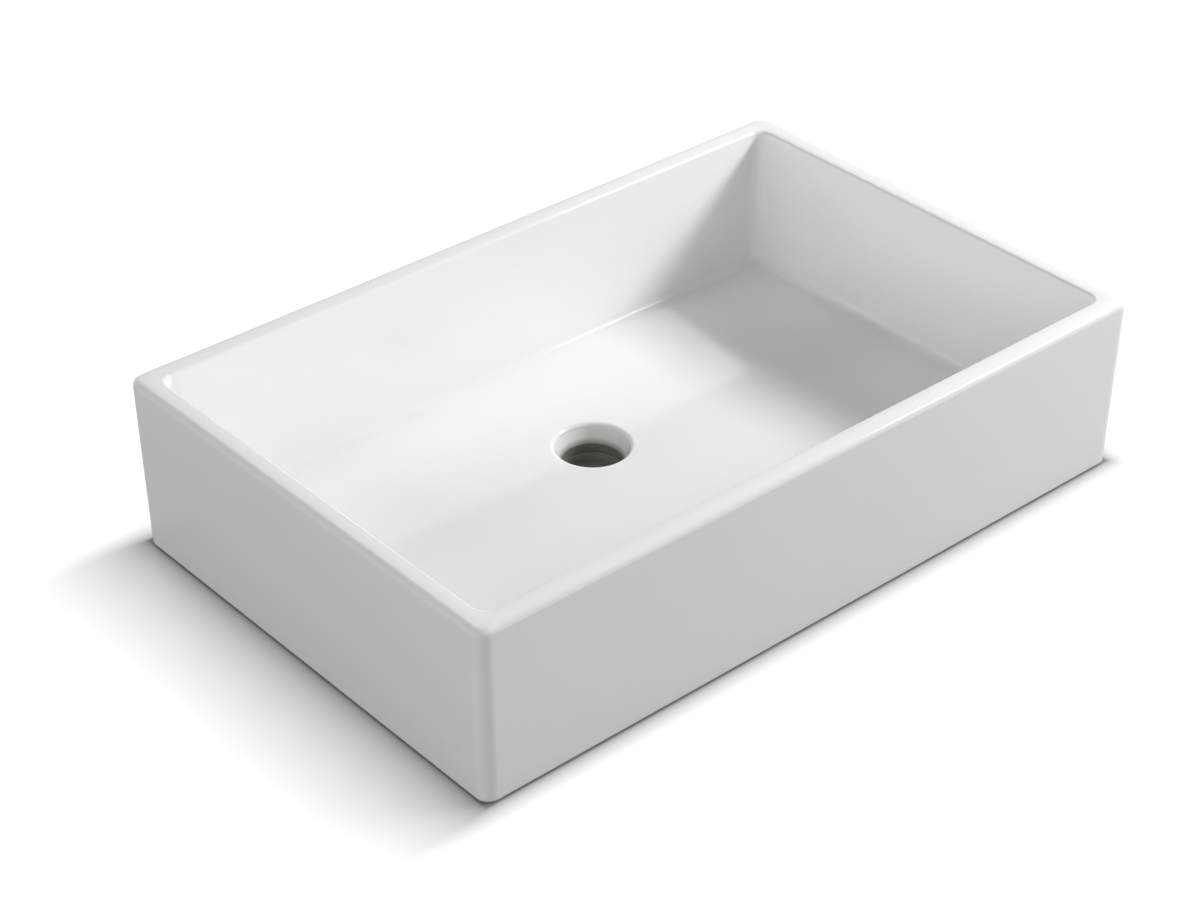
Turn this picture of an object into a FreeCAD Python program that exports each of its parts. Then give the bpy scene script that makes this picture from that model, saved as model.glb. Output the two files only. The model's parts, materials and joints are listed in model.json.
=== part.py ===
"""Rectangular countertop basin in glazed ceramic, with an open waste hole.

The frame: +Z up, +X along the basin, +Y towards its back, millimetres.
The origin is on the surface that the basin stands on, under the middle of the basin.
"""

import FreeCAD, Part

import math
import os

# ---------------------------------------------------------------- driving dimensions

# the box
BASIN_LENGTH = 600.0            # outside, along X, at the rim before its edge is rounded
BASIN_DEPTH = 380.0             # the same from front to back
BASIN_HEIGHT = 138.0            # from the standing surface to the top of the rim, along its sides
END_LEAN = 3.0                  # how far each short end draws in from rim to base
SIDE_LEAN = 0.5                 # the same on each long side
OUTER_CORNER_RADIUS = 10.0      # upright corners, seen from above
BASE_EDGE_ROUND = 2.0           # round along the lower edge

# the rim
RIM_WIDTH = 16.0
RIM_SLOPE = 9.0                 # degrees that its top falls from the middle to each edge
RIM_CROWN_RADIUS = 20.0         # round along the middle of its top
RIM_OUTER_ROUND = 5.0
RIM_INNER_ROUND = 3.0

# the bowl
FLOOR_HEIGHT = 24.0             # bowl floor at the foot of the walls
FLOOR_FALL = 1.5                # how much lower the floor is at the waste
BOWL_LEAN = 6.5                 # how far each inner wall draws in from rim to floor
BOWL_CORNER_RADIUS = 10.0
BOWL_FLOOR_ROUND = 7.0          # cove between the walls and the floor
FLOOR_BORDER = 1.0              # level strip between the cove and the fall

# the waste outlet
WASTE_OFFSET = 51.0             # how far behind the middle of the basin
WASTE_HOLE_RADIUS = 23.0
WASTE_MOUTH_RADIUS = 31.5       # where the floor starts to turn down
WASTE_LIP_ROUND = 3.8
WASTE_BORE_LENGTH = 7.0         # round wall of the hole, up from its lower end
WASTE_THROAT_ROUND = 1.0        # between the cone and the hole
WASTE_BOSS_RADIUS = 36.0
WASTE_BOSS_LIFT = 1.0           # seat under the boss, above the standing surface

# the underside
FOOT_LIFT = 0.8                 # shadow gap under the outer edge
FOOT_INSET = 3.0                # foot ring, in from the outer face
FOOT_WIDTH = 14.0
HOLLOW_HEIGHT = 12.0
HOLLOW_CORNER_RADIUS = 12.0
HOLLOW_ROUND = 4.0              # round between the hollow's walls and its ceiling

# the fixing points
FIXING_INSET_X = 50.0           # centre of each hole, in from the outer face of its end
FIXING_INSET_Y = 50.0           # the same from the front or the back
FIXING_BLOCK_RADIUS = 20.0
FIXING_BLOCK_LIFT = 1.5
FIXING_HOLE_DEPTH = 16.0

# the fixing sleeves
SLEEVE_RADIUS = 6.0
SLEEVE_LENGTH = 15.0            # without its collar
SLEEVE_BORE_RADIUS = 3.4
SLEEVE_COLLAR_RADIUS = 8.0
SLEEVE_COLLAR_THICKNESS = 1.2
SLEEVE_LEAD_IN = 0.8
SLEEVE_SLIT_WIDTH = 1.0
SLEEVE_SLIT_LENGTH = 9.0
SLEEVE_CLEARANCE = 0.1          # around the sleeve in its hole

PAST = 2.0                      # how far a cutting shape runs past what it cuts

# ---------------------------------------------------------------- worked out from them

HALF_LENGTH = BASIN_LENGTH / 2
HALF_DEPTH = BASIN_DEPTH / 2
RIM_RISE = math.tan(math.radians(RIM_SLOPE))
RIDGE_HEIGHT = BASIN_HEIGHT + RIM_CROWN_RADIUS * (1 / math.cos(math.radians(RIM_SLOPE)) - 1)
RIM_EDGE_HEIGHT = RIDGE_HEIGHT - RIM_RISE * RIM_WIDTH / 2
WASTE_FLOOR = FLOOR_HEIGHT - FLOOR_FALL
WASTE_BORE_TOP = WASTE_BOSS_LIFT + WASTE_BORE_LENGTH
FIXING_SPACING_X = BASIN_LENGTH - 2 * FIXING_INSET_X
FIXING_SPACING_Y = BASIN_DEPTH - 2 * FIXING_INSET_Y
FIXING_HOLE_RADIUS = SLEEVE_RADIUS + SLEEVE_CLEARANCE

UP = FreeCAD.Vector(0, 0, 1)


def point(x, y, z):
    return FreeCAD.Vector(x, y, z)


def rounded_rectangle(half_x, half_y, radius, z):
    """Closed wire about the Z axis, starting on its +X side."""
    straight_x = half_x - radius
    straight_y = half_y - radius
    diagonal = radius * math.sqrt(0.5)
    edges = []
    for sx, sy in ((1, 1), (-1, 1), (-1, -1), (1, -1)):
        on_side = point(sx * half_x, sy * straight_y, z)
        on_end = point(sx * straight_x, sy * half_y, z)
        middle = point(sx * (straight_x + diagonal), sy * (straight_y + diagonal), z)
        first, last = (on_side, on_end) if sx * sy > 0 else (on_end, on_side)
        if edges:
            edges.append(Part.LineSegment(edges[-1].EndPoint, first))
        edges.append(Part.Arc(first, middle, last))
    edges.append(Part.LineSegment(edges[-1].EndPoint, edges[0].StartPoint))
    return Part.Wire([edge.toShape() for edge in edges])


def tapered_box(low, high):
    """Solid between two rounded rectangles, each (half_x, half_y, radius, z)."""
    return Part.makeLoft([rounded_rectangle(*low), rounded_rectangle(*high)], True, True)


def edges_at_height(shape, z):
    """The edges that lie all along at one height."""
    found = []
    for edge in shape.Edges:
        box = edge.BoundBox
        if abs(box.ZMin - z) < 1e-4 and abs(box.ZMax - z) < 1e-4:
            found.append(edge)
    return found


def fixing_points():
    """Place of each fixing point, with the name of its corner."""
    for side, y in (("front", -FIXING_SPACING_Y / 2), ("back", FIXING_SPACING_Y / 2)):
        for end, x in (("left", -FIXING_SPACING_X / 2), ("right", FIXING_SPACING_X / 2)):
            yield side + "_" + end, x, y


# ---------------------------------------------------------------- the ceramic body

def rim_outline(inset, z):
    """Rounded rectangle that far in from the outer face, as tapered_box takes it."""
    return (HALF_LENGTH - inset, HALF_DEPTH - inset, OUTER_CORNER_RADIUS, z)


def outer_block():
    """The box without its bowl: leaning walls, and a top that slopes up to the rim's ridge."""
    base = (HALF_LENGTH - END_LEAN, HALF_DEPTH - SIDE_LEAN, OUTER_CORNER_RADIUS, FOOT_LIFT)
    edge = rim_outline(0, RIM_EDGE_HEIGHT)
    past_ridge = rim_outline(RIM_WIDTH / 2 + PAST, RIDGE_HEIGHT + PAST * RIM_RISE)
    block = tapered_box(base, edge).fuse(tapered_box(edge, past_ridge)).removeSplitter()
    block = block.makeFillet(RIM_OUTER_ROUND, edges_at_height(block, RIM_EDGE_HEIGHT))
    return block.makeFillet(BASE_EDGE_ROUND, edges_at_height(block, FOOT_LIFT))


def bowl_space():
    """The inside of the bowl, from its floor to the rim's inner edge."""
    inset_low = RIM_WIDTH + BOWL_LEAN
    low = (HALF_LENGTH - inset_low, HALF_DEPTH - inset_low, BOWL_CORNER_RADIUS, FLOOR_HEIGHT)
    high = (HALF_LENGTH - RIM_WIDTH, HALF_DEPTH - RIM_WIDTH, BOWL_CORNER_RADIUS,
            RIM_EDGE_HEIGHT)
    space = tapered_box(low, high)
    return space.makeFillet(BOWL_FLOOR_ROUND, edges_at_height(space, FLOOR_HEIGHT))


def above_bowl_space():
    """What the slope from the rim's ridge down to the bowl takes away."""
    edge = (HALF_LENGTH - RIM_WIDTH, HALF_DEPTH - RIM_WIDTH, BOWL_CORNER_RADIUS,
            RIM_EDGE_HEIGHT)
    half = RIM_WIDTH / 2 - PAST
    past_ridge = (HALF_LENGTH - half, HALF_DEPTH - half, BOWL_CORNER_RADIUS,
                  RIDGE_HEIGHT + PAST * RIM_RISE)
    return tapered_box(edge, past_ridge)


def floor_fall_space():
    """What the floor's fall takes away: four faces that run down to the waste's mouth."""
    border = RIM_WIDTH + BOWL_LEAN + BOWL_FLOOR_ROUND + FLOOR_BORDER
    half_x = HALF_LENGTH - border
    half_y = HALF_DEPTH - border
    corners = [(half_x, half_y), (-half_x, half_y), (-half_x, -half_y), (half_x, -half_y)]
    top = [point(x, y, FLOOR_HEIGHT) for x, y in corners]
    angles = [math.atan2(y - WASTE_OFFSET, x) for x, y in corners]

    def on_mouth(angle):
        return point(WASTE_MOUTH_RADIUS * math.cos(angle),
                     WASTE_OFFSET + WASTE_MOUTH_RADIUS * math.sin(angle), WASTE_FLOOR)

    top_edges = []
    mouth_edges = []
    for i in range(4):
        start = angles[i]
        sweep = (angles[(i + 1) % 4] - start) % (2 * math.pi)
        arc = Part.Arc(on_mouth(start), on_mouth(start + sweep / 2), on_mouth(start + sweep))
        mouth_edges.append(arc.toShape())
        top_edges.append(Part.LineSegment(top[i], top[(i + 1) % 4]).toShape())
    faces = [Part.makeRuledSurface(t, m) for t, m in zip(top_edges, mouth_edges)]
    faces.append(Part.Face(Part.Wire(top_edges)))
    faces.append(Part.Face(Part.Wire(mouth_edges)))
    shell = Part.makeShell(faces)
    shell.sewShape()
    fall = Part.makeSolid(shell)
    if fall.Volume < 0:
        fall.reverse()
    return fall


def waste_space():
    """The way out for the water: rounded mouth, cone and straight hole."""
    lip_radius = WASTE_MOUTH_RADIUS - WASTE_LIP_ROUND
    lip_height = WASTE_FLOOR - WASTE_LIP_ROUND
    turn = WASTE_LIP_ROUND * math.sqrt(0.5)
    above = point(0, 0, WASTE_FLOOR + PAST)
    above_mouth = point(WASTE_MOUTH_RADIUS, 0, WASTE_FLOOR + PAST)
    mouth = point(WASTE_MOUTH_RADIUS, 0, WASTE_FLOOR)
    mid_lip = point(WASTE_MOUTH_RADIUS - turn, 0, lip_height + turn)
    lip = point(lip_radius, 0, lip_height)
    throat = point(WASTE_HOLE_RADIUS, 0, WASTE_BORE_TOP)
    below_wall = point(WASTE_HOLE_RADIUS, 0, -PAST)
    below = point(0, 0, -PAST)
    outline = [
        Part.LineSegment(above, above_mouth),
        Part.LineSegment(above_mouth, mouth),
        Part.Arc(mouth, mid_lip, lip),
        Part.LineSegment(lip, throat),
        Part.LineSegment(throat, below_wall),
        Part.LineSegment(below_wall, below),
        Part.LineSegment(below, above),
    ]
    face = Part.Face(Part.Wire([edge.toShape() for edge in outline]))
    space = face.revolve(point(0, 0, 0), UP, 360)
    space = space.makeFillet(WASTE_THROAT_ROUND, edges_at_height(space, WASTE_BORE_TOP))
    space.translate(point(0, WASTE_OFFSET, 0))
    return space


def foot_ring():
    """The low ground ring that the basin stands on."""
    low_x = HALF_LENGTH - END_LEAN - FOOT_INSET
    low_y = HALF_DEPTH - SIDE_LEAN - FOOT_INSET
    radius = OUTER_CORNER_RADIUS - FOOT_INSET
    top = FOOT_LIFT + PAST
    return tapered_box((low_x, low_y, radius, 0), (low_x, low_y, radius, top))


def fixing_block(x, y):
    """Thick corner of the underside, from its fixing point out past the foot ring."""
    reach_x = HALF_LENGTH - abs(x)
    reach_y = HALF_DEPTH - abs(y)
    low = -FIXING_BLOCK_RADIUS
    block = Part.makeBox(reach_x - low, reach_y - low, HOLLOW_HEIGHT + 2 * PAST,
                         point(low, low, -PAST))
    inner = [edge for edge in block.Edges
             if edge.BoundBox.XMax < low + 1e-3 and edge.BoundBox.YMax < low + 1e-3]
    block = block.makeFillet(FIXING_BLOCK_RADIUS, inner)
    if x < 0:
        block = block.mirror(point(0, 0, 0), point(1, 0, 0))
    if y < 0:
        block = block.mirror(point(0, 0, 0), point(0, 1, 0))
    block.translate(point(x, y, 0))
    return block


def hollow_space():
    """The hollow under the floor, around the waste's boss and inside the foot ring."""
    inset = FOOT_INSET + FOOT_WIDTH
    half_x = HALF_LENGTH - END_LEAN - inset
    half_y = HALF_DEPTH - SIDE_LEAN - inset
    low = (half_x, half_y, HOLLOW_CORNER_RADIUS, -PAST)
    high = (half_x, half_y, HOLLOW_CORNER_RADIUS, HOLLOW_HEIGHT)
    hollow = tapered_box(low, high)
    boss = Part.makeCylinder(WASTE_BOSS_RADIUS, HOLLOW_HEIGHT + 2 * PAST,
                             point(0, WASTE_OFFSET, -PAST))
    kept = [boss] + [fixing_block(x, y) for _, x, y in fixing_points()]
    for solid in kept:
        hollow = hollow.cut(solid)
    return hollow.makeFillet(HOLLOW_ROUND, edges_at_height(hollow, HOLLOW_HEIGHT))


def underside_trim():
    """What is ground off under the boss and the fixing blocks, and the fixing holes."""
    cuts = [Part.makeCylinder(WASTE_BOSS_RADIUS + PAST, WASTE_BOSS_LIFT + PAST,
                              point(0, WASTE_OFFSET, -PAST))]
    inset = FOOT_INSET + FOOT_WIDTH
    half_x = HALF_LENGTH - END_LEAN - inset
    half_y = HALF_DEPTH - SIDE_LEAN - inset
    inside_ring = tapered_box((half_x, half_y, HOLLOW_CORNER_RADIUS, -PAST),
                              (half_x, half_y, HOLLOW_CORNER_RADIUS, FIXING_BLOCK_LIFT))
    for _, x, y in fixing_points():
        block = fixing_block(x, y)
        cuts.append(block.common(inside_ring))
        cuts.append(Part.makeCylinder(FIXING_HOLE_RADIUS, FIXING_HOLE_DEPTH + PAST,
                                      point(x, y, FIXING_BLOCK_LIFT - PAST)))
    return cuts


def basin_body():
    body = outer_block().fuse(foot_ring())
    body = body.cut(bowl_space().fuse(above_bowl_space()).removeSplitter())
    body = body.cut(floor_fall_space())
    body = body.makeFillet(RIM_CROWN_RADIUS, edges_at_height(body, RIDGE_HEIGHT))
    body = body.makeFillet(RIM_INNER_ROUND, edges_at_height(body, RIM_EDGE_HEIGHT))
    body = body.cut(hollow_space())
    for cut in underside_trim():
        body = body.cut(cut)
    return body.cut(waste_space()).removeSplitter()


# ---------------------------------------------------------------- the fixing sleeves

def fixing_sleeve(x, y):
    """Nylon sleeve with a collar, slit at its blind end so that a screw spreads it."""
    mouth = FIXING_BLOCK_LIFT
    shank = Part.makeCylinder(SLEEVE_RADIUS, SLEEVE_LENGTH, point(0, 0, mouth))
    shank = shank.makeChamfer(SLEEVE_LEAD_IN, edges_at_height(shank, mouth + SLEEVE_LENGTH))
    collar = Part.makeCylinder(SLEEVE_COLLAR_RADIUS, SLEEVE_COLLAR_THICKNESS,
                               point(0, 0, mouth - SLEEVE_COLLAR_THICKNESS))
    bore = Part.makeCylinder(SLEEVE_BORE_RADIUS, SLEEVE_LENGTH + 2 * PAST + SLEEVE_COLLAR_THICKNESS,
                             point(0, 0, mouth - SLEEVE_COLLAR_THICKNESS - PAST))
    slit = Part.makeBox(2 * SLEEVE_RADIUS + PAST, SLEEVE_SLIT_WIDTH, SLEEVE_SLIT_LENGTH + PAST,
                        point(-SLEEVE_RADIUS - PAST / 2, -SLEEVE_SLIT_WIDTH / 2,
                              mouth + SLEEVE_LENGTH - SLEEVE_SLIT_LENGTH))
    sleeve = shank.fuse(collar).cut(bore).cut(slit).removeSplitter()
    sleeve.translate(point(x, y, 0))
    return sleeve


# ---------------------------------------------------------------- all pieces

def build():
    nodes = {"basin_body": basin_body()}
    for corner, x, y in fixing_points():
        nodes["fixing_sleeve_" + corner] = fixing_sleeve(x, y)
    return nodes


os.makedirs("parts", exist_ok=True)
for name, shape in build().items():
    shape.exportStep("parts/" + name + ".step")
    print(name, "solids", len(shape.Solids), "valid", shape.isValid(),
          "volume", round(shape.Volume))
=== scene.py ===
"""Finishes, light and camera for the rectangular countertop basin.

Metres, in the model's own frame: +X along the basin, +Y towards its back, +Z up.
"""

import json
import math

import bpy
from mathutils import Matrix, Vector


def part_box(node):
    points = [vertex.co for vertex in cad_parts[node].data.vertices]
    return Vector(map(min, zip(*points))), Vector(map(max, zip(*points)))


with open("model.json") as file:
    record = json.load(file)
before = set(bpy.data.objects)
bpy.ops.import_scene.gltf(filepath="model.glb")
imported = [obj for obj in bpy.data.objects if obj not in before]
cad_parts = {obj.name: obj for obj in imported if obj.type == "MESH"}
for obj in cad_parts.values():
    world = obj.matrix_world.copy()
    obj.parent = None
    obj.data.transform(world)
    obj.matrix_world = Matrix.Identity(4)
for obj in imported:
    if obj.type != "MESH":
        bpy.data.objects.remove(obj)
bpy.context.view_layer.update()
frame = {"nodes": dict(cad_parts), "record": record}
basin_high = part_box("basin_body")[1]
waste = next(mount for mount in frame["record"]["mounts"] if mount["name"] == "waste_hole")
waste_place = Vector(waste["pos_m"])
waste_radius = waste["dims"]["r_mm"] / 1000

# ---------------------------------------------------------------- view and light

# the view: turned and raised in degrees (0 looks along +Y), then metres, then millimetres
VIEW_AZIMUTH = -41.36
VIEW_ELEVATION = 33.75
VIEW_ROLL = 0.30
VIEW_AIM = (-0.0080, 0.0335, 0.0298)
VIEW_DISTANCE = 2.0044
VIEW_NEAR, VIEW_FAR = 0.05, 60.0
VIEW_LENS = 82.96
VIEW_SENSOR = 36.0

# the soft boxes: centre, the point each faces, width, height, watts
SOFT_BOXES = {
    "key": ((1.850, -1.375, 1.360), (0.000, -0.050, 0.120), 0.62, 0.550, 18.0),
    "key_strip_front": ((1.658, -0.797, 1.260), (0.222, -0.647, 0.137), 0.60, 0.420, 16.0),
    "key_strip_back": ((1.751, 0.098, 1.260), (0.315, 0.248, 0.137), 1.20, 0.420, 20.5),
    "fill_front_right": ((1.800, -1.800, 1.200), (0.000, 0.000, 0.100), 2.00, 1.500, 19.0),
    "fill_back": ((0.000, 2.500, 1.000), (0.000, 0.000, 0.100), 2.00, 1.500, 33.2),
    "fill_left": ((-2.500, 0.000, 1.000), (0.000, 0.000, 0.100), 2.00, 1.500, 21.9),
    "fill_left_front": ((-1.800, -1.800, 1.200), (0.000, 0.000, 0.100), 2.00, 1.500, 13.4),
    "fill_top": ((0.000, 0.000, 2.500), (0.000, 0.000, 0.000), 2.00, 2.000, 7.1),
}

# only these lamps show as highlights in the glaze, the others just light it
SHOWN_IN_GLOSS = ("key", "key_strip_front")

# an unseen card beside the right end, that lets only part of the key light through to that wall
CARD_PLACE = (0.340, 0.015, 0.082)
CARD_LENGTH = 0.420
CARD_HEIGHT = 0.162
CARD_LETS_THROUGH = 0.55

# the white that the camera sees past the basin shows in the gloss by these shares
ROOM_IN_GLOSS = 0.12
FLOOR_IN_GLOSS = 0.35

# the top it stands on, with the round cut-out under the waste
FLOOR_RADIUS = 8.0
CUTOUT_RADIUS = 0.0235
CUTOUT_DEPTH = 0.0085
CUTOUT_SIDES = 128
TOUCH = 1e-6                         # closer than this is the same height
FOOTPRINT_X = basin_high.x - 0.003   # half the basin where it meets the floor
FOOTPRINT_Y = basin_high.y - 0.0005
# painted shadow: the floor's glow fades towards the basin, longest off its left end
SHADOW_LENGTH = 0.096                # metres from the left end to where the floor is white again
SHADOW_SHARE = 4.5                   # how many times shorter the shadow is on the other sides
NEAR_GLOW = 0.87                     # the floor's glow where the lamps still reach it
FAR_FROM_TO = (0.6, 2.0)             # metres over which the glow makes up for the lamps' fading

# ---------------------------------------------------------------- sizes on the basin, in metres

# where the ground ring ends and where the underside ends, up from the standing surface
GROUND_RING_TOP = 0.0006
GROUND_RING_EDGE = 0.0002
UNDERSIDE_TOP = 0.0125
UNDERSIDE_EDGE = 0.0005

# the waste: bare clay up to BORE_TOP, darkened as painted shade, and above it a painted shade
# that fades out up the cone's foot
BORE_TOP = waste_place.z + 0.0034
BORE_EDGE = 0.0003
BORE_REACH = (waste_radius + 0.0003, waste_radius + 0.0006)
CONE_REACH = (waste_radius + 0.0030, waste_radius + 0.0080)
OUTLET_REACH = (waste_radius + 0.0060, waste_radius + 0.0065)
CONE_FOOT_SHADE_TOP = BORE_TOP + 0.0055

# how high the surface's unevenness is
GLAZE_WAVE = 0.00003
GLAZE_RIPPLE = 0.000001
GRINDING_GRAIN = 0.00012
NYLON_GRAIN = 0.00002

# ---------------------------------------------------------------- colours and gloss

# linear red, green and blue; where there are two, the surface wanders between them
GLAZE_POOLED = (0.879, 0.879, 0.877)
GLAZE_DRAWN_THIN = (0.862, 0.863, 0.862)
GLAZE_FLECK = (0.868, 0.866, 0.860)
# painted shade: the cone darkens towards the waste hole, and darker still at its foot just above
# the hole
CONE_PAINTED_SHADE = (0.500, 0.492, 0.465)
CONE_FOOT_PAINTED_SHADE = (0.230, 0.222, 0.196)
UNDERSIDE_COAT = ((0.800, 0.786, 0.750), (0.850, 0.842, 0.820))
# bare clay in the hole, made darker than its own colour as painted shade down the hole
BORE_CLAY_AND_SHADE = ((0.150, 0.145, 0.126), (0.180, 0.174, 0.150))
GROUND_CLAY = ((0.640, 0.600, 0.530), (0.760, 0.725, 0.660))
NYLON_GREY = ((0.560, 0.560, 0.545), (0.640, 0.640, 0.620))
FLOOR_GREY = ((0.295, 0.295, 0.295), (0.305, 0.305, 0.305))
CUTOUT_SIDE = ((0.270, 0.262, 0.230), (0.320, 0.310, 0.272))
CUTOUT_BOTTOM = ((0.300, 0.310, 0.325), (0.350, 0.362, 0.380))
WHITE = (1.0, 1.0, 1.0, 1.0)

# how much of each colour covers the glaze under it: the flecks, and the painted shade on the cone
# and its foot
FLECK_COVER = 0.25
CONE_SHADE_COVER = 0.50
CONE_FOOT_SHADE_COVER = 0.8

# roughness, 0 a mirror and 1 matt
GLAZE_ROUGHNESS = (0.045, 0.085)
UNDERSIDE_ROUGHNESS = 0.34
BORE_ROUGHNESS = 0.55
GROUND_ROUGHNESS = 0.82
NYLON_ROUGHNESS = (0.42, 0.58)
FLOOR_ROUGHNESS = 0.8
CUTOUT_ROUGHNESS = 0.6

FLOOR_SPECULAR = 0.2
GLAZE_IOR = 1.52
NYLON_IOR = 1.53


# ---------------------------------------------------------------- node helpers

def new_material(name):
    """An empty material with its surface shader and output, ready for nodes."""
    material = bpy.data.materials.new(name)
    material.use_nodes = True
    tree = material.node_tree
    tree.nodes.clear()
    surface = tree.nodes.new("ShaderNodeBsdfPrincipled")
    output = tree.nodes.new("ShaderNodeOutputMaterial")
    tree.links.new(surface.outputs["BSDF"], output.inputs["Surface"])
    return material, tree, surface, output


def noise(tree, place, scale, detail, roughness=0.5):
    """Soft random pattern, 0 to 1."""
    node = tree.nodes.new("ShaderNodeTexNoise")
    node.inputs["Scale"].default_value = scale
    node.inputs["Detail"].default_value = detail
    node.inputs["Roughness"].default_value = roughness
    tree.links.new(place, node.inputs["Vector"])
    return node.outputs["Fac"]


def spread(tree, value, low, high, to_low, to_high, smooth=False):
    """The value's range low to high, stretched to another and held at its ends."""
    node = tree.nodes.new("ShaderNodeMapRange")
    node.interpolation_type = "SMOOTHSTEP" if smooth else "LINEAR"
    node.inputs["From Min"].default_value = low
    node.inputs["From Max"].default_value = high
    node.inputs["To Min"].default_value = to_low
    node.inputs["To Max"].default_value = to_high
    tree.links.new(value, node.inputs["Value"])
    return node.outputs["Result"]


def sums(tree, kind, first, second):
    """One sum on two values; the second may be a plain number."""
    node = tree.nodes.new("ShaderNodeMath")
    node.operation = kind
    for value, socket in ((first, node.inputs[0]), (second, node.inputs[1])):
        if isinstance(value, (int, float)):
            socket.default_value = value
        else:
            tree.links.new(value, socket)
    return node.outputs[0]


def blend_colours(tree, amount, first, second):
    """From the first colour to the second as amount goes from 0 to 1."""
    node = tree.nodes.new("ShaderNodeMix")
    node.data_type = "RGBA"
    tree.links.new(amount, node.inputs["Factor"])
    sockets = [socket for socket in node.inputs if socket.type == "RGBA"]
    for colour, socket in zip((first, second), sockets):
        if isinstance(colour, tuple):
            socket.default_value = (*colour, 1.0)
        else:
            tree.links.new(colour, socket)
    return [socket for socket in node.outputs if socket.type == "RGBA"][0]


def blend_values(tree, amount, first, second):
    """From the first value to the second as amount goes from 0 to 1."""
    node = tree.nodes.new("ShaderNodeMix")
    node.data_type = "FLOAT"
    tree.links.new(amount, node.inputs["Factor"])
    for value, socket in ((first, node.inputs["A"]), (second, node.inputs["B"])):
        if isinstance(value, (int, float)):
            socket.default_value = value
        else:
            tree.links.new(value, socket)
    return node.outputs["Result"]


def relief(tree, height, depth, under=None):
    """Surface relief from a height pattern, depth in metres, on top of another relief."""
    node = tree.nodes.new("ShaderNodeBump")
    node.inputs["Strength"].default_value = 1.0
    node.inputs["Distance"].default_value = depth
    tree.links.new(height, node.inputs["Height"])
    if under is not None:
        tree.links.new(under, node.inputs["Normal"])
    return node.outputs["Normal"]


# ---------------------------------------------------------------- finishes

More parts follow.
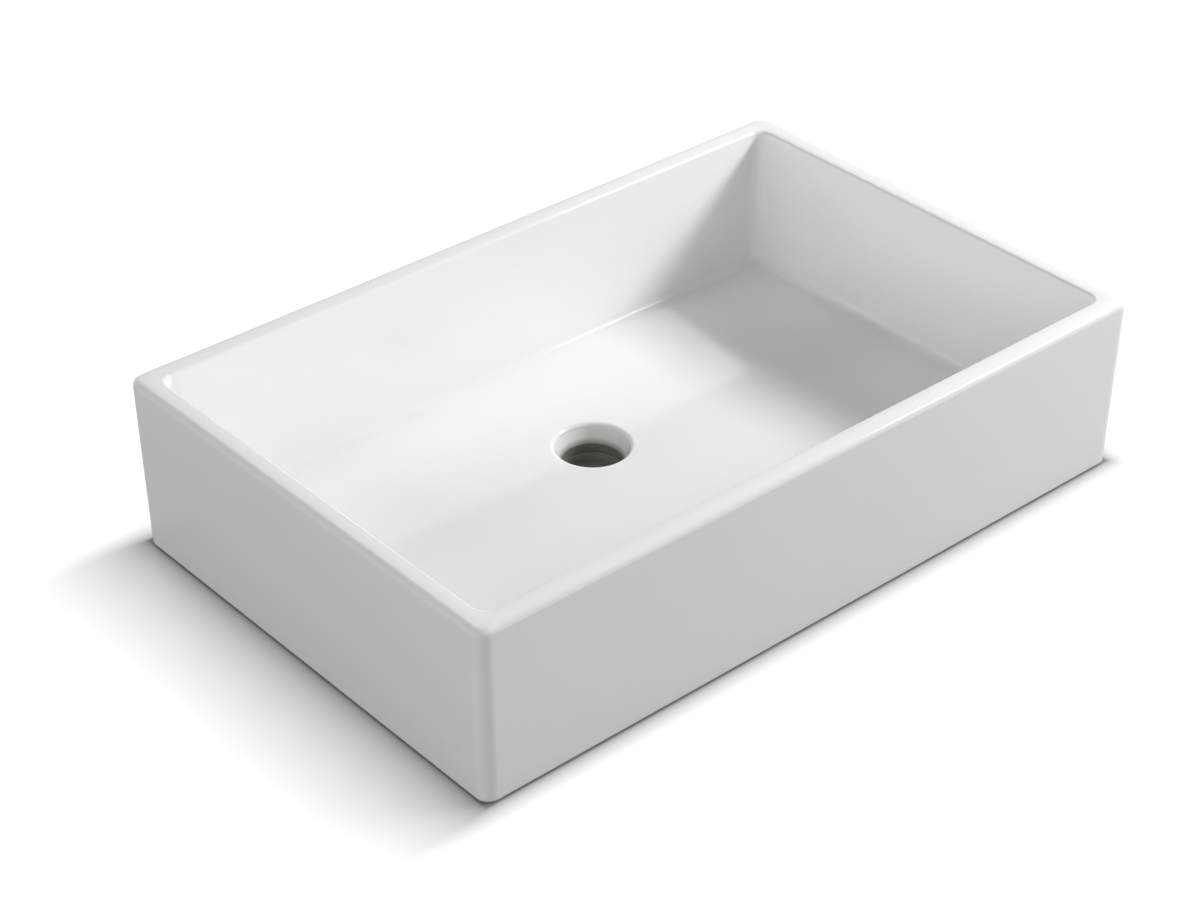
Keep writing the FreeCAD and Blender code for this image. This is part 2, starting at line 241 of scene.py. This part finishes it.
def glazed_ceramic():
    """White glaze over the whole casting, thin underneath, bare on the ground ring."""
    material, tree, surface, _ = new_material("white_glaze_and_bare_ring")
    place = tree.nodes.new("ShaderNodeTexCoord").outputs["Object"]
    parts = tree.nodes.new("ShaderNodeSeparateXYZ")
    tree.links.new(place, parts.inputs["Vector"])
    facing = tree.nodes.new("ShaderNodeSeparateXYZ")
    surface_normal = tree.nodes.new("ShaderNodeNewGeometry").outputs["Normal"]
    tree.links.new(surface_normal, facing.inputs["Vector"])

    # the glaze pools and thins a little, and has faint flecks
    pooling = noise(tree, place, 5.0, 2.0)
    flecks = noise(tree, place, 70.0, 3.0, 0.6)
    glaze = blend_colours(tree, spread(tree, pooling, 0.3, 0.7, 0.0, 1.0),
                          GLAZE_POOLED, GLAZE_DRAWN_THIN)
    glaze = blend_colours(tree, spread(tree, flecks, 0.35, 0.65, 0.0, FLECK_COVER),
                          glaze, GLAZE_FLECK)

    # under the basin the glaze is a thin creamy coat
    facing_down = spread(tree, facing.outputs["Z"], -0.2, -0.6, 0.0, 1.0)
    low_down = spread(tree, parts.outputs["Z"], UNDERSIDE_TOP, UNDERSIDE_TOP + UNDERSIDE_EDGE,
                      1.0, 0.0)
    underneath = sums(tree, "MULTIPLY", facing_down, low_down)
    overspray = noise(tree, place, 28.0, 4.0, 0.65)
    thin_coat = blend_colours(tree, spread(tree, overspray, 0.35, 0.65, 0.0, 1.0),
                              *UNDERSIDE_COAT)
    colour = blend_colours(tree, underneath, glaze, thin_coat)

    # the waste: painted shade on the cone, darker still at its foot, and bare clay in the hole,
    # darkened as painted shade
    plan = tree.nodes.new("ShaderNodeCombineXYZ")
    tree.links.new(sums(tree, "SUBTRACT", parts.outputs["X"], waste_place.x), plan.inputs["X"])
    tree.links.new(sums(tree, "SUBTRACT", parts.outputs["Y"], waste_place.y), plan.inputs["Y"])
    reach = tree.nodes.new("ShaderNodeVectorMath")
    reach.operation = "LENGTH"
    tree.links.new(plan.outputs["Vector"], reach.inputs[0])
    from_axis = reach.outputs["Value"]
    in_outlet = spread(tree, from_axis, *OUTLET_REACH, 1.0, 0.0)
    in_bore = spread(tree, from_axis, *BORE_REACH, 1.0, 0.0)
    # painted shade on the cone, and a darker painted shade at its foot just above the hole
    cone_painted_shade = spread(tree, from_axis, *CONE_REACH, CONE_SHADE_COVER, 0.0, smooth=True)
    colour = blend_colours(tree, cone_painted_shade, colour, CONE_PAINTED_SHADE)
    cone_foot_painted_shade = spread(tree, parts.outputs["Z"], BORE_TOP, CONE_FOOT_SHADE_TOP, CONE_FOOT_SHADE_COVER, 0.0,
                     smooth=True)
    cone_foot_painted_shade = sums(tree, "MULTIPLY", cone_foot_painted_shade, in_outlet)
    colour = blend_colours(tree, cone_foot_painted_shade, colour, CONE_FOOT_PAINTED_SHADE)
    clay_grain = noise(tree, place, 500.0, 3.0, 0.6)
    # bare clay, darkened as painted shade for the hole's depth
    clay_and_painted_shade = blend_colours(tree, spread(tree, clay_grain, 0.35, 0.65, 0.0, 1.0), *BORE_CLAY_AND_SHADE)
    below_glaze = spread(tree, parts.outputs["Z"], BORE_TOP, BORE_TOP + BORE_EDGE, 1.0, 0.0)
    bore = sums(tree, "MULTIPLY", in_bore, below_glaze)
    colour = blend_colours(tree, bore, colour, clay_and_painted_shade)

    # the ring it stands on is ground bare
    ring = spread(tree, parts.outputs["Z"], GROUND_RING_TOP, GROUND_RING_TOP + GROUND_RING_EDGE,
                  1.0, 0.0)
    grain = noise(tree, place, 900.0, 3.0, 0.7)
    ground_clay = blend_colours(tree, spread(tree, grain, 0.35, 0.65, 0.0, 1.0), *GROUND_CLAY)
    colour = blend_colours(tree, ring, colour, ground_clay)
    tree.links.new(colour, surface.inputs["Base Color"])

    # the glaze is glossy, and the coat underneath and the bare clay are dull
    sheen_patch = noise(tree, place, 14.0, 2.0)
    dull = spread(tree, sheen_patch, 0.3, 0.7, *GLAZE_ROUGHNESS)
    dull = blend_values(tree, underneath, dull, UNDERSIDE_ROUGHNESS)
    dull = blend_values(tree, bore, dull, BORE_ROUGHNESS)
    dull = blend_values(tree, ring, dull, GROUND_ROUGHNESS)
    tree.links.new(dull, surface.inputs["Roughness"])
    surface.inputs["IOR"].default_value = GLAZE_IOR

    # fired glaze is never quite flat, and the ground ring is grainy
    slow_wave = noise(tree, place, 9.0, 1.0)
    fine_ripple = noise(tree, place, 120.0, 1.0)
    shape = relief(tree, slow_wave, GLAZE_WAVE)
    shape = relief(tree, fine_ripple, GLAZE_RIPPLE, shape)
    ground_grain = sums(tree, "MULTIPLY", grain, ring)
    shape = relief(tree, ground_grain, GRINDING_GRAIN, shape)
    tree.links.new(shape, surface.inputs["Normal"])
    return material


def grey_nylon():
    """Moulded nylon: dull, with a faint cloud in its colour and a fine grain."""
    material, tree, surface, _ = new_material("grey_nylon")
    place = tree.nodes.new("ShaderNodeTexCoord").outputs["Object"]
    cloud = noise(tree, place, 260.0, 3.0)
    grain = noise(tree, place, 2400.0, 2.0)
    colour = blend_colours(tree, spread(tree, cloud, 0.3, 0.7, 0.0, 1.0), *NYLON_GREY)
    tree.links.new(colour, surface.inputs["Base Color"])
    tree.links.new(spread(tree, grain, 0.3, 0.7, *NYLON_ROUGHNESS), surface.inputs["Roughness"])
    tree.links.new(relief(tree, grain, NYLON_GRAIN), surface.inputs["Normal"])
    surface.inputs["IOR"].default_value = NYLON_IOR
    return material


def give_finish(node, material):
    """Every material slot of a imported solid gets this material."""
    piece = frame["nodes"][node]
    if not piece.material_slots:
        piece.data.materials.append(material)
    for slot in piece.material_slots:
        slot.material = material


# ---------------------------------------------------------------- floor, light and camera

def seen_share(tree, share_in_gloss):
    """1 for the camera and through glass, the given share in a reflection, 0 as light."""
    ray = tree.nodes.new("ShaderNodeLightPath")
    gloss = sums(tree, "MULTIPLY", ray.outputs["Is Glossy Ray"], share_in_gloss)
    seen = sums(tree, "MAXIMUM", ray.outputs["Is Camera Ray"], gloss)
    return sums(tree, "MAXIMUM", seen, ray.outputs["Is Transmission Ray"])


def pale_floor_material():
    """Grey top that a glow makes white to the camera, except in a painted shadow round the basin.
    """
    material, tree, surface, output = new_material("pale_floor")
    place = tree.nodes.new("ShaderNodeTexCoord").outputs["Object"]
    parts = tree.nodes.new("ShaderNodeSeparateXYZ")
    tree.links.new(place, parts.inputs["Vector"])
    faint = noise(tree, place, 3.0, 2.0)
    colour = blend_colours(tree, faint, *FLOOR_GREY)
    tree.links.new(colour, surface.inputs["Base Color"])
    surface.inputs["Roughness"].default_value = FLOOR_ROUGHNESS
    surface.inputs["Specular IOR Level"].default_value = FLOOR_SPECULAR

    # how far outside the footprint; the painted shadow is long only on the side away from the key
    left = sums(tree, "SUBTRACT", sums(tree, "MULTIPLY", parts.outputs["X"], -1.0), FOOTPRINT_X)
    right = sums(tree, "SUBTRACT", parts.outputs["X"], FOOTPRINT_X)
    across = sums(tree, "MAXIMUM", left, sums(tree, "MULTIPLY", right, SHADOW_SHARE))
    along = sums(tree, "SUBTRACT", sums(tree, "ABSOLUTE", parts.outputs["Y"], 0.0), FOOTPRINT_Y)
    along = sums(tree, "MULTIPLY", along, SHADOW_SHARE)
    outside = [sums(tree, "POWER", sums(tree, "MAXIMUM", way, 0.0), 2.0)
               for way in (across, along)]
    distance = sums(tree, "SQRT", sums(tree, "ADD", *outside), 0.0)

    # the glow comes up fast at first, as the square root of the distance, which paints the
    # shadow's soft edge; the lamps' own shadow on the grey under it is the smaller part
    glow_past_painted_shadow = spread(tree, sums(tree, "SQRT", distance, 0.0), 0.0, math.sqrt(SHADOW_LENGTH),
                      0.0, NEAR_GLOW)
    far_off = spread(tree, distance, *FAR_FROM_TO, 0.0, 1.0 - NEAR_GLOW)
    glow_past_painted_shadow = sums(tree, "ADD", glow_past_painted_shadow, far_off)

    seen = seen_share(tree, FLOOR_IN_GLOSS)
    glow = tree.nodes.new("ShaderNodeEmission")
    glow.inputs["Color"].default_value = WHITE
    tree.links.new(sums(tree, "MULTIPLY", glow_past_painted_shadow, seen), glow.inputs["Strength"])
    both = tree.nodes.new("ShaderNodeAddShader")
    tree.links.new(surface.outputs["BSDF"], both.inputs[0])
    tree.links.new(glow.outputs["Emission"], both.inputs[1])
    tree.links.new(both.outputs["Shader"], output.inputs["Surface"])
    return material


def dark_cutout_material():
    """The sawn edge and the dark space under the counter, seen down the waste hole."""
    material, tree, surface, _ = new_material("dark_cutout")
    place = tree.nodes.new("ShaderNodeTexCoord").outputs["Object"]
    grain = noise(tree, place, 400.0, 3.0)
    side = blend_colours(tree, grain, *CUTOUT_SIDE)
    bottom = blend_colours(tree, grain, *CUTOUT_BOTTOM)
    parts = tree.nodes.new("ShaderNodeSeparateXYZ")
    tree.links.new(place, parts.inputs["Vector"])
    down = spread(tree, parts.outputs["Z"], 0.0002 - CUTOUT_DEPTH, 0.0001 - CUTOUT_DEPTH,
                  0.0, 1.0)
    colour = blend_colours(tree, down, side, bottom)
    tree.links.new(colour, surface.inputs["Base Color"])
    surface.inputs["Roughness"].default_value = CUTOUT_ROUGHNESS
    return material


def pale_floor():
    """The surface it stands on, with the round cut-out that a waste goes down through."""
    middle = Vector((waste_place.x, waste_place.y, 0.0))
    bpy.ops.object.select_all(action="DESELECT")
    bpy.ops.mesh.primitive_circle_add(vertices=CUTOUT_SIDES, radius=CUTOUT_RADIUS,
                                      location=middle)
    floor = bpy.context.object
    floor.name = "pale_floor"
    floor.data.materials.append(pale_floor_material())
    floor.data.materials.append(dark_cutout_material())
    bpy.ops.object.transform_apply(location=True, rotation=True, scale=True)

    bpy.ops.object.mode_set(mode="EDIT")
    bpy.ops.mesh.select_all(action="SELECT")
    bpy.ops.mesh.extrude_edges_move(TRANSFORM_OT_translate={"value": (0, 0, -CUTOUT_DEPTH)})
    bpy.ops.mesh.edge_face_add()
    bpy.ops.object.mode_set(mode="OBJECT")

    # the rim of the cut-out, drawn out to a wide round top
    for vertex in floor.data.vertices:
        vertex.select = abs(vertex.co.z) < TOUCH
    for edge in floor.data.edges:
        edge.select = all(floor.data.vertices[i].select for i in edge.vertices)
    for face in floor.data.polygons:
        face.select = False
    bpy.ops.object.mode_set(mode="EDIT")
    bpy.ops.mesh.extrude_edges_move()
    spread_out = FLOOR_RADIUS / CUTOUT_RADIUS
    bpy.ops.transform.resize(value=(spread_out, spread_out, 1.0), center_override=middle)
    bpy.ops.mesh.select_all(action="SELECT")
    bpy.ops.mesh.normals_make_consistent(inside=False)
    bpy.ops.object.mode_set(mode="OBJECT")
    for face in floor.data.polygons:
        face.material_index = 0 if face.center.z > -TOUCH else 1


def room_light():
    """White where the camera sees past the floor, dimmer in the gloss, and no light by itself."""
    world = bpy.data.worlds.new("plain_white_room")
    bpy.context.scene.world = world
    world.use_nodes = True
    tree = world.node_tree
    tree.nodes.clear()
    output = tree.nodes.new("ShaderNodeOutputWorld")
    room = tree.nodes.new("ShaderNodeBackground")
    room.inputs["Color"].default_value = WHITE
    tree.links.new(seen_share(tree, ROOM_IN_GLOSS), room.inputs["Strength"])
    tree.links.new(room.outputs["Background"], output.inputs["Surface"])


def soft_box(name, centre, aim, width, height, watts):
    """Rectangular area light, its width level, that the camera doesn't see."""
    data = bpy.data.lights.new(name, "AREA")
    data.shape = "RECTANGLE"
    data.size = width
    data.size_y = height
    data.energy = watts
    box = bpy.data.objects.new(name, data)
    bpy.context.collection.objects.link(box)
    box.location = centre
    box.rotation_mode = "QUATERNION"
    box.rotation_quaternion = (Vector(centre) - Vector(aim)).to_track_quat("Z", "Y")
    box.visible_camera = False
    box.visible_glossy = name in SHOWN_IN_GLOSS


def shading_card():
    """Translucent card on the floor that only shades: no camera or reflection shows it."""
    material, tree, _, output = new_material("shading_card")
    veil = tree.nodes.new("ShaderNodeBsdfTransparent")
    veil.inputs["Color"].default_value = (*[CARD_LETS_THROUGH] * 3, 1.0)
    tree.links.new(veil.outputs["BSDF"], output.inputs["Surface"])

    bpy.ops.object.select_all(action="DESELECT")
    bpy.ops.mesh.primitive_plane_add(size=1.0, location=CARD_PLACE,
                                     rotation=(0.0, math.radians(90.0), 0.0))
    card = bpy.context.object
    card.name = "shading_card"
    card.scale = (CARD_HEIGHT, CARD_LENGTH, 1.0)
    bpy.ops.object.transform_apply(location=True, rotation=True, scale=True)
    card.data.materials.append(material)
    card.visible_camera = False
    card.visible_glossy = False
    card.visible_diffuse = False
    card.visible_transmission = False


def view_camera():
    """The camera that looks at VIEW_AIM from the photograph's angle."""
    azimuth = math.radians(VIEW_AZIMUTH)
    elevation = math.radians(VIEW_ELEVATION)
    back = Vector((math.sin(azimuth) * math.cos(elevation),
                   -math.cos(azimuth) * math.cos(elevation),
                   math.sin(elevation)))
    right = (-back).cross(Vector((0.0, 0.0, 1.0))).normalized()
    up = right.cross(-back)
    roll = math.radians(VIEW_ROLL)
    turned_right = right * math.cos(roll) + up * math.sin(roll)
    turned_up = up * math.cos(roll) - right * math.sin(roll)
    data = bpy.data.cameras.new("view_camera")
    data.sensor_width = VIEW_SENSOR
    data.lens = VIEW_LENS
    data.clip_start = VIEW_NEAR
    data.clip_end = VIEW_FAR
    camera = bpy.data.objects.new("view_camera", data)
    bpy.context.collection.objects.link(camera)
    axes = Matrix((turned_right, turned_up, back)).transposed().to_4x4()
    camera.matrix_world = Matrix.Translation(Vector(VIEW_AIM) + back * VIEW_DISTANCE) @ axes
    bpy.context.scene.camera = camera


# ---------------------------------------------------------------- the scene

bpy.context.scene.view_settings.view_transform = "Standard"

give_finish("basin_body", glazed_ceramic())
nylon = grey_nylon()
for node in frame["nodes"]:
    if node.startswith("fixing_sleeve"):
        give_finish(node, nylon)

pale_floor()
room_light()
for box_name, box_sizes in SOFT_BOXES.items():
    soft_box(box_name, *box_sizes)
shading_card()
view_camera()
